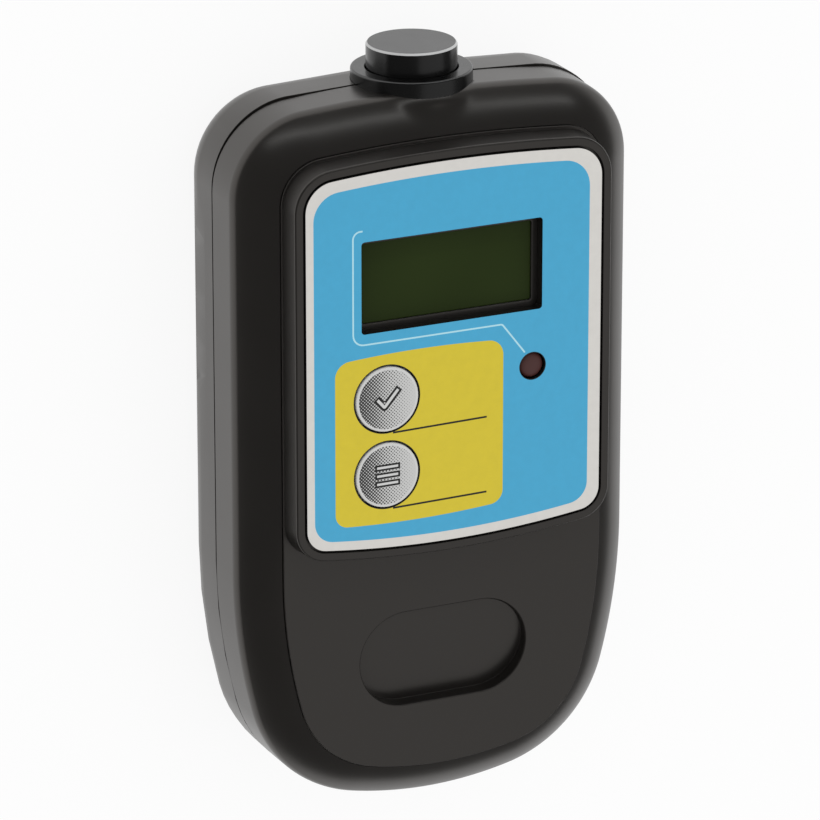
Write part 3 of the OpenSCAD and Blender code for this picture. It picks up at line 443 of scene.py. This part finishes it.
def leaning_arc(start, radius, first, last, steps):
    """Arc of (inset, height) pairs whose lean t goes from first to last:
    start + radius * (cos first - cos t, sin t - sin first)."""
    t = np.linspace(first, last, steps)
    return start + radius * np.column_stack([math.cos(first) - np.cos(t), np.sin(t) - math.sin(first)])


bend_r, bend_tilt = 2.5, math.radians(40)
wall_tilt = math.atan2(draft, z_shoulder - parting_z)
bend = leaning_arc(np.array([draft, z_shoulder]), bend_r, wall_tilt, bend_tilt, 9)
chord = np.array([draft + shoulder_run, z_crease]) - bend[-1]
crease_tilt = 2 * math.atan2(*chord) - bend_tilt
slope_r = np.linalg.norm(chord) / 2 / math.sin((crease_tilt - bend_tilt) / 2)
slope = leaning_arc(bend[-1], slope_r, bend_tilt, crease_tilt, 13)
groove_w, groove_h, groove_edge, lip_edge = 0.3, 0.13, 0.05, 0.03
rim = soften([(wall_t, parting_z, 0), (groove_w, parting_z, groove_edge),
              (0, parting_z + groove_h, lip_edge), (*bend[0], 0)])
seam_w, seam_drop = 0.2, 0.25
step_in, step_lean, step_edge = 0.1, 0.01, 0.09
face_edge = soften([(face_inset - step_in - step_lean, z_crease - seam_drop, 0),
                    (face_inset - step_in, z_face, step_edge), (face_inset, z_face, 0)])
skin = np.vstack([rim, bend[1:], slope[1:], [(face_inset - seam_w, z_crease - seam_drop)], face_edge])


def saddle(grid):
    """Lifts the shoulder's height a to a boss of height b over the collar. Near a = b the two run into
    each other softly: max(a, b) + blend / 4 * (1 - |a - b| / blend)^2."""
    boss_lift, boss_drop, boss_run, boss_blend, play = 0.3, 1.2, 1.5, 1.6, 0.001
    boss_reach = 3 * shoulder_run
    x, y, z = np.moveaxis(grid, -1, 0)
    behind = np.clip(1 - (y_top - y) / boss_run, 0, 1)
    arch = np.sqrt(np.maximum(collar_r ** 2 - x ** 2, 0))
    boss = parting_z + arch + boss_lift - boss_drop * behind ** 2
    near = np.clip(1 - np.abs(z - boss) / boss_blend, 0, 1)
    lifted = np.maximum(z, boss) + boss_blend / 4 * near ** 2
    shoulder = (y > y_top - boss_reach) & (z > z_shoulder - play) & (np.abs(x) < collar_r)
    return np.stack([x, y, np.where(shoulder, lifted, z)], -1)


def pillow(low, high, top_r, bottom_r, top_arch, bottom_arch, count=12):
    """Outline of a block with round corners, straight sides and arched ends."""
    half, middle = (high[0] - low[0]) / 2, (high[0] + low[0]) / 2
    turn_low = math.asin((half - bottom_r) / (bottom_arch - bottom_r))
    turn_top = math.asin((half - top_r) / (top_arch - top_r))
    y_low = low[1] + bottom_arch - (bottom_arch - bottom_r) * math.cos(turn_low)
    y_high = high[1] - top_arch + (top_arch - top_r) * math.cos(turn_top)
    turn_low, turn_top = math.degrees(turn_low), math.degrees(turn_top)
    return Outline([
        (0, low[1] + bottom_arch, bottom_arch, -90, -90 + turn_low, count),
        (half - bottom_r, y_low, bottom_r, -90 + turn_low, 0, count),
        (half - top_r, y_high, top_r, 0, 90 - turn_top, count),
        (0, high[1] - top_arch, top_arch, 90 - turn_top, 90, count)], (middle, 0))


label_top_r, label_low_r, label_arch = 4.5, 3.4, 150
label_path = pillow(label_low[:2], label_high[:2], label_top_r, label_low_r,
                    top_arch - (y_top - label_high[1]), label_arch, 18)
deck_margin, deck_rim, deck_lean, label_gap = 1.66, 1.2, 0.05, 0.15
foot_edge, rim_edge, pocket_edge, gutter_w, gutter_h = 0.04, 0.3, 0.06, 0.5, 0.3
flank = soften([
    (-deck_margin, z_face, 0), (deck_lean - deck_margin, z_face, foot_edge),
    (-label_gap - deck_rim, z_label, rim_edge), (-label_gap, z_label, pocket_edge),
    (-label_gap, z_pocket - gutter_h, 0), (gutter_w, z_pocket - gutter_h, 0), (gutter_w, z_pocket, 0)], 8)

thumb_y, thumb_w, thumb_h = -32.15, 25.6, 14
thumb_shallow, thumb_deep, thumb_lip, thumb_foot = 0.5, 2.2, 0.22, 0.08
thumb_path = Outline([((thumb_w - thumb_h) / 2, 0, thumb_h / 2, -90, 90, 49)], (0, thumb_y))


def thumb_recess():
    """Stadium walls that drop to a floor sloping down along -y, closed on its middle line. Lip and foot
    are quarter arcs, lip * (sin t - 1, cos t - 1) and foot * (2 - cos t, 1 - sin t)."""
    t = np.linspace(0, math.pi / 2, 6)
    lip = thumb_lip * np.column_stack([np.sin(t) - 1, np.cos(t) - 1])
    foot = thumb_foot * np.column_stack([2 - np.cos(t), 1 - np.sin(t)])
    upper = thumb_path.wall(lip + (0, z_face))
    lower = thumb_path.wall([*foot, (thumb_h / 2, 0)])
    share = np.clip((thumb_y + thumb_h / 2 - lower[..., 1]) / thumb_h, 0, 1)
    lower[..., 2] += z_face - thumb_shallow - (thumb_deep - thumb_shallow) * share
    return np.concatenate([upper, lower])


def circle(x, y, radius, count=48):
    """Round outline with an even number of points."""
    return Outline([(0, 0, radius, -90, 90, count // 2 + 1)], (x, y))


key_low, key_high = corners("ok_button")
second_low, second_high = corners("function_button")
lamp_low, lamp_high = corners("indicator_led")
key_hole_r, lamp_hole_r = 4.95, 1.95
key_centres = [(key_low + key_high)[:2] / 2, (second_low + second_high)[:2] / 2]
lamp_centre = (lamp_low + lamp_high)[:2] / 2
key_paths = [circle(*centre, key_hole_r, 64) for centre in key_centres]
lamp_path = circle(*lamp_centre, lamp_hole_r)

window_low, window_high, window_corner = np.array([-14.1, 18.3]), np.array([13.3, 31.6]), 0.5
window_path = rounded_box(window_low, window_high, window_corner)
openings = [window_path, *key_paths, lamp_path]
ledge_w, ledge_t, ledge_edge, ledge_corner = 0.9, 0.35, 0.12, 0.3
z_ledge = z_ceiling + ledge_t
ledge_path = rounded_box(window_low + ledge_w, window_high - ledge_w, ledge_corner)
ledge_profile = soften([(-2 * ledge_edge, z_ledge, 0), (0, z_ledge, ledge_edge), (0, z_ceiling, 0)])
window_wall = np.concatenate([
    window_path.wall([(0, z_pocket), (0, z_ledge)]), ledge_path.wall(ledge_profile)])

inner_z = z_face - face_plate
inner = np.vstack([(wall_t, parting_z), np.vstack([bend, slope[1:]]) + (wall_t, -face_plate),
                   (face_inset + wall_t, inner_z)])
cavity_inset, thumb_floor_t, thumb_wall_t = 0.6, 1.6, 2
thumb_floor_z = z_face - thumb_deep - thumb_floor_t
front = sheets([
    saddle(body_path.wall(skin)), label_path.wall(flank), thumb_recess(), window_wall,
    *[path.wall([(0, z_pocket), (0, z_ceiling)]) for path in openings[1:]],
    label_path.wall([(cavity_inset, z_ceiling), (cavity_inset, inner_z)]),
    body_path.wall(inner),
    thumb_path.wall([(-thumb_wall_t, inner_z), (-thumb_wall_t, thumb_floor_z)])])
cap(front, z_face, z_pocket, z_ceiling, inner_z, thumb_floor_z)
front_shell = make("front_shell", front, satin_black, "housing", "black_plastic", "front_housing")

# The top wall is cut open where the collar passes through it.
way_lap, way_back, way_front = 1, 30, 60
way_r = collar_r - way_lap
way = sheets([turned([(0, way_back), (way_r, way_back), (way_r, way_front), (0, way_front)], axis)])
bmesh.ops.recalc_face_normals(way, faces=way.faces)
cutter = finished("collar_way", way, sharp=32)
notch = front_shell.modifiers.new("collar_way", "BOOLEAN")
notch.operation, notch.object, notch.solver = "DIFFERENCE", cutter, "EXACT"
front_shell.modifiers.move(1, 0)
graph = bpy.context.evaluated_depsgraph_get()
carved = bpy.data.meshes.new_from_object(front_shell.evaluated_get(graph))
front_shell.modifiers.clear()
front_shell.data = carved
bpy.data.objects.remove(cutter)


def post(x, y, radius, bore, low, high):
    """Upright tube: one closed profile of (inset, height) pairs carried round a circle."""
    wall = radius - bore
    return circle(x, y, radius, 24).wall([(0, low), (0, high), (wall, high), (wall, low), (0, low)])


def rib(y, thick, bore, half, low, high, count=33):
    """Half plate over a round way, from radius bore out to the box |x| = half, z = high. At each angle
    from 0 to pi it reaches min(half / |cos|, (high - low) / sin)."""
    turn = np.linspace(0, math.pi, count)
    ahead = np.column_stack([np.cos(turn), np.zeros(count), np.sin(turn)])
    aside = half / np.maximum(np.abs(ahead[:, 0]), 1e-9)
    above = (high - low) / np.maximum(ahead[:, 2], 1e-9)
    reach = np.minimum(aside, above)
    loop = [(bore, y - thick / 2), (reach, y - thick / 2), (reach, y + thick / 2), (bore, y + thick / 2)]
    return np.stack([ahead * np.reshape(r, (-1, 1)) + (0, along, low) for r, along in loop], 1)


housing_posts, housing_post_r, housing_pilot_r = [(22, 40), (18.5, -36)], 3.1, 1.25
board_posts, board_post_r, board_pilot_r = [(19.35, -7.85), (11.6, 38.15)], 2, 0.95
board_top = corners("main_board")[1][2]
rib_margin, sunk = 2, 0.3
supports = sheets([
    *[post(side * x, y, housing_post_r, housing_pilot_r, parting_z, inner_z + sunk)
      for x, y in housing_posts for side in (-1, 1)],
    *[post(side * x, y, board_post_r, board_pilot_r, board_top, z_ceiling + sunk)
      for x, y in board_posts for side in (-1, 1)],
    rib(rib_y, rib_t, rib_r + rib_gap, collar_r + rib_margin, parting_z, inner_z + sunk)])
cap(supports, parting_z)
make("front_supports", supports, satin_black, "housing", "black_plastic", "front_housing")


# Label: a printed polyester film that lies in the pocket of the deck, with a pale border, a blue panel, a
# yellow field behind the keys and thin leader lines.
def print_ink(name, colour, rough=0.33):
    """Printed film: even colour with a faint mottle, satin gloss."""
    material, add, shade = new_material(name)
    mottle = noise(add, 900.0, 3.0)
    shade({"Base Color": tinted(add, mottle, colour, 0.95, 1.05), "Roughness": rough})
    return material


def stroke(route, width):
    """Closed loop round a softened polyline: each point moved half the width to both sides."""
    line = soften(route, 8)
    along = np.gradient(line, axis=0)
    along /= np.linalg.norm(along, axis=1)[:, None]
    aside = np.column_stack([-along[:, 1], along[:, 0]]) * width / 2
    return np.vstack([line - aside, (line + aside)[::-1]])


def printed_face(bm, z, regions, holes):
    """Level face cut along the edges of its printed regions (loop, material number); holes stay open.
    Each triangle takes the number of the last region that it lies in."""
    loops = [loop for loop, _ in regions] + holes
    ends = np.cumsum([0] + [len(loop) for loop in loops])
    rims = [list(range(a, b)) for a, b in zip(ends[:-1], ends[1:])]
    flat = [Vector(point) for point in np.vstack(loops)]
    points, _, faces, _, _, owners = delaunay_2d_cdt(flat, [], rims, 1, 1e-6)
    lasts = [max(owner, default=len(regions)) for owner in owners]
    inked = [(face, regions[last][1]) for face, last in zip(faces, lasts) if last < len(regions)]
    mesh = bpy.data.meshes.new("print")
    mesh.from_pydata(np.insert(np.array(points), 2, z, axis=1) / 1000, [], [face for face, _ in inked])
    mesh.polygons.foreach_set("material_index", [ink for _, ink in inked])
    bm.from_mesh(mesh)
    bpy.data.meshes.remove(mesh)
    weld(bm)


film_in, film_edge = 0.15, 0.06
line_w, leader_w, key_ring_w, lamp_ring_w = 0.24, 0.28, 0.08, 0.1
panel_low, panel_high, panel_arch = (-21.2, -12.4), (20.5, 39.95), top_arch - 9
field_low, field_high = (-18.1, -9.9), (7.4, 15.1)
panel = pillow(panel_low, panel_high, top_r=4, bottom_r=3, top_arch=panel_arch, bottom_arch=label_arch)
field = pillow(field_low, field_high, top_r=2.3, bottom_r=2, top_arch=label_arch, bottom_arch=label_arch)
pointer_x, pointer_low, pointer_high = -15.35, 16.8, 33.2
pointer = stroke([(-13.9, pointer_high, 0), (pointer_x, pointer_high, 1.1), (pointer_x, pointer_low, 1.6),
                  (7.2, pointer_low, 0.5), (10.7, 12.2, 0)], line_w)
leader_start, leader_end = (0.9, -key_hole_r - 0.09, 0), (15.2, -key_hole_r + 0.1, 0)
leaders = [stroke(np.array([leader_start, leader_end]) + (*centre, 0), leader_w) for centre in key_centres]
border, blue, yellow, white, black = range(5)
art = [(label_path.at(film_in + film_edge), border), (panel.at(0), blue), (field.at(0), yellow),
       (pointer, white), *[(loop, black) for loop in leaders],
       *[(path.at(-key_ring_w), black) for path in key_paths], (lamp_path.at(-lamp_ring_w), black)]
film_rim = soften([(0, z_pocket, 0), (0, z_label, film_edge), (2 * film_edge, z_label, 0)])[:-1]
film = sheets([label_path.wall(film_rim + (film_in, 0)),
               *[path.wall([(0, z_pocket), (0, z_label)]) for path in openings]])
cap(film, z_pocket)
# The film's sides and underside take black ink as painted shade, so that the gap round the label looks
# dark.
for face in film.faces:
    face.material_index = black
printed_face(film, z_label, art, [path.at(0) for path in openings])
label_film = make("label_film", film, print_ink("border_ink", (0.70, 0.68, 0.645)), "housing", "label_film",
                  "overlay_label")
for ink, colour in [("blue_ink", (0.052, 0.40, 0.66)), ("yellow_ink", (0.70, 0.56, 0.018)),
                    ("white_ink", (0.45, 0.76, 0.86)), ("black_ink", (0.012, 0.012, 0.012))]:
    label_film.data.materials.append(print_ink(ink, colour))


# Keys: two round caps printed silver, each with a flange below the deck and a stem on its switch. A dot
# screen shades each face from dark on its left to bright on its right, round a plain sign in its middle.
def dot_screen(name, centre):
    """Silver print with a dot screen: dark dots where the product of two waves passes a level that rises
    with x across the face."""
    material, add, shade = new_material(name)
    split = add("ShaderNodeSeparateXYZ", {"Vector": add("ShaderNodeTexCoord", {}).outputs["Object"]})

    def wave(axis):
        """Cosine along one axis, one turn for each dot."""
        turn = add("ShaderNodeMath", {0: split.outputs[axis], 1: 2000 * math.pi / dot_pitch},
                   operation="MULTIPLY")
        return add("ShaderNodeMath", {0: turn.outputs[0]}, operation="COSINE").outputs[0]

    lattice = add("ShaderNodeMath", {0: wave("X"), 1: wave("Y")}, operation="MULTIPLY")
    level = add("ShaderNodeMapRange", {
        "Value": split.outputs["X"], "From Min": (centre[0] - screen_r) / 1000,
        "From Max": (centre[0] + screen_r) / 1000, "To Min": -0.6, "To Max": 1.05})
    over = add("ShaderNodeMath", {0: lattice.outputs[0], 1: level.outputs["Result"]}, operation="SUBTRACT")
    dots = add("ShaderNodeMapRange", {"Value": over.outputs[0], "From Min": -0.1, "From Max": 0.1})
    shade({"Base Color": blended(add, dots.outputs["Result"], (0.6, 0.6, 0.59), (0.035, 0.035, 0.035)),
           "Roughness": 0.3})
    return material


def upright(profile, centre, count):
    """Grid of a profile of (radius, height) pairs turned about the upright line through centre."""
    return turned(profile, centre, count)[..., [0, 2, 1]]


def key_cap(name, centre, low, high, signs, body, node):
    """Cap turned about its upright axis, with a flange below and a printed face on top."""
    flange_low, flange_top = low + stem_h, low + stem_h + key_flange_t
    profile = soften([
        (0, low, 0), (stem_r, low, 0), (stem_r, flange_low, 0), (key_flange_r, flange_low, flange_edge),
        (key_flange_r, flange_top, flange_edge), (key_r, flange_top, 0), (key_r, high, key_edge),
        (key_r - 2 * key_edge, high, 0)])[:-1]
    side = upright(profile, centre, key_sides)
    screen = upright([(screen_r, high)], centre, key_sides)
    bm = sheets([side])
    regions = [(side[-1, :, :2], silver), (screen[0, :, :2], dotted)]
    printed_face(bm, high, regions + [(centre + loop, ink) for loop, ink in signs], [])
    piece = make(name, bm, silver_ring, body, "key_silver", node)
    piece.data.materials.append(dot_screen(name + "_print", centre))
    piece.data.materials.append(label_film.data.materials[black])


key_r, key_flange_r, stem_r, screen_r, dot_pitch, key_sides = 4.7, 5.45, 1.7, 4.3, 0.5, 72
stem_h, key_flange_t, flange_edge, key_edge = 0.2, 0.8, 0.1, 0.2
silver_ring = print_ink("silver_ink", (0.66, 0.66, 0.65), 0.3)
silver, dotted, outline = range(3)
tick_w, tick_outline_w = 0.42, 1.1
tick = [(stroke([(-1.68, 0.31, 0), (-0.45, -1.1, 0.1), (1.78, 1.51, 0)], tick_outline_w), outline),
        (stroke([(-1.5, 0.1, 0), (-0.45, -1.1, 0.1), (1.6, 1.3, 0)], tick_w), silver)]
bar_pitch, bar_half, bar_w = 1.2, 1.6, 0.34
bar_outline_half, bar_outline_w = 1.9, 0.9
bars = [(stroke([(-end, row * bar_pitch, 0), (end, row * bar_pitch, 0)], width), ink)
        for end, width, ink in [(bar_outline_half, bar_outline_w, outline), (bar_half, bar_w, silver)]
        for row in (-1, 0, 1)]
key_cap("ok_cap", key_centres[0], key_low[2], key_high[2], tick, "ok_key", "ok_button")
key_cap("function_cap", key_centres[1], second_low[2], second_high[2], bars, "function_key",
        "function_button")

# Lamp: a small light-emitting diode with a flange at its foot, moulded in red resin. Its domed end is set
# just below the face of the label.
lamp_r, lamp_flange_r, lamp_flange_t, dome_h = 1.78, 1.8, 1, 0.5
red_lens = print_ink("red_lens", (0.072, 0.021, 0.018), 0.4)
rise = np.linspace(0, math.pi / 2, 12)
dome = np.column_stack([lamp_r * np.cos(rise), lamp_high[2] - dome_h * (1 - np.sin(rise))])
flange_z = lamp_low[2] + lamp_flange_t
lamp_profile = [(0, lamp_low[2]), (lamp_flange_r, lamp_low[2]), (lamp_flange_r, flange_z),
                (lamp_r, flange_z), *dome]
make("lamp_lens", sheets([upright(lamp_profile, lamp_centre, 40)]), red_lens, "housing", "lamp_red",
     "indicator_led")

# Floor and light: a pale table that shows white and keeps a soft shadow, an even sky that is dimmer in
# reflections, a wide soft lamp above the right side, and a narrow strip lamp past the top end that draws
# the light lines on the edges there.
floor_half, white_share = 3, 0.9
floor_mesh = bpy.data.meshes.new("floor")
floor_mesh.from_pydata([(-floor_half, -floor_half, 0), (floor_half, -floor_half, 0),
                        (floor_half, floor_half, 0), (-floor_half, floor_half, 0)], [], [(0, 1, 2, 3)])
floor = bpy.data.objects.new("floor", floor_mesh)
bpy.context.collection.objects.link(floor)
paper, add, _ = new_material("pale_table")
ray = add("ShaderNodeLightPath", {}).outputs
seen = add("ShaderNodeMath", {0: ray["Is Camera Ray"], 1: ray["Is Glossy Ray"]}, operation="MAXIMUM")
seen_all = add("ShaderNodeMath", {0: seen.outputs[0], 1: ray["Is Transmission Ray"]}, operation="MAXIMUM")
share = add("ShaderNodeMath", {0: seen_all.outputs[0], 1: white_share}, operation="MULTIPLY")
matt = add("ShaderNodeBsdfDiffuse", {"Color": (0.92, 0.92, 0.92, 1)})
glow = add("ShaderNodeEmission", {"Strength": 1.0})
mix = add("ShaderNodeMixShader", {"Fac": share.outputs[0], 1: matt.outputs[0], 2: glow.outputs[0]})
paper_nodes = paper.node_tree.nodes
paper.node_tree.links.new(mix.outputs[0], paper_nodes["Material Output"].inputs["Surface"])
paper_nodes.remove(paper_nodes["Principled BSDF"])
floor.data.materials.append(paper)

sky_light, sky_shine = 0.79, 0.1
world = bpy.data.worlds.new("soft_sky")
world.use_nodes = True
sky = world.node_tree
sky_ray = sky.nodes.new("ShaderNodeLightPath")
sky_level = sky.nodes.new("ShaderNodeMapRange")
sky_level.inputs["To Min"].default_value = sky_light
sky_level.inputs["To Max"].default_value = sky_shine
sky.links.new(sky_ray.outputs["Is Glossy Ray"], sky_level.inputs["Value"])
sky.links.new(sky_level.outputs["Result"], sky.nodes["Background"].inputs["Strength"])
sky.nodes["Background"].inputs["Color"].default_value = (1, 1, 1, 1)
bpy.context.scene.world = world


def soft_lamp(name, place, size, radiance, colour=(1, 1, 1)):
    """Rectangular area lamp that shines from a place on the gauge, with a power of radiance * pi * area."""
    light = bpy.data.lights.new(name, "AREA")
    light.color = colour
    light.shape, light.size, light.size_y = "RECTANGLE", size[0], size[1]
    light.energy = radiance * math.pi * size[0] * size[1]
    lamp = bpy.data.objects.new(name, light)
    lamp.location = place
    lamp.rotation_euler = Vector(place).to_track_quat("Z", "Y").to_euler()
    bpy.context.collection.objects.link(lamp)


soft_lamp("key_lamp", place=(0.5, -0.41, 1.0), size=(1.3, 1.3), radiance=0.4)
soft_lamp("top_lamp", place=(0.1, 0.9, 0.52), size=(1.5, 0.06), radiance=4.2, colour=(0.92, 0.97, 1))

# Camera: a long lens that looks down on the gauge from its upper left, turned by yaw to the left and
# raised by pitch towards the top end.
yaw, pitch = math.radians(24.6), math.radians(19.9)
camera_place, lens_mm, sensor_mm = (-0.3306, 0.2879, 0.7332), 263.4, 36
right = np.array([math.cos(yaw), 0, math.sin(yaw)])
back = np.array([-math.sin(yaw) * math.cos(pitch), math.sin(pitch), math.cos(yaw) * math.cos(pitch)])
up = np.cross(back, right)
turn = Matrix(np.column_stack([right, up, back])).to_4x4()
camera = bpy.data.objects.new("camera", bpy.data.cameras.new("camera"))
camera.data.lens, camera.data.sensor_width = lens_mm, sensor_mm
camera.matrix_world = Matrix.Translation(camera_place) @ turn
bpy.context.collection.objects.link(camera)
bpy.context.scene.camera = camera
bpy.context.scene.view_settings.view_transform = "Standard"
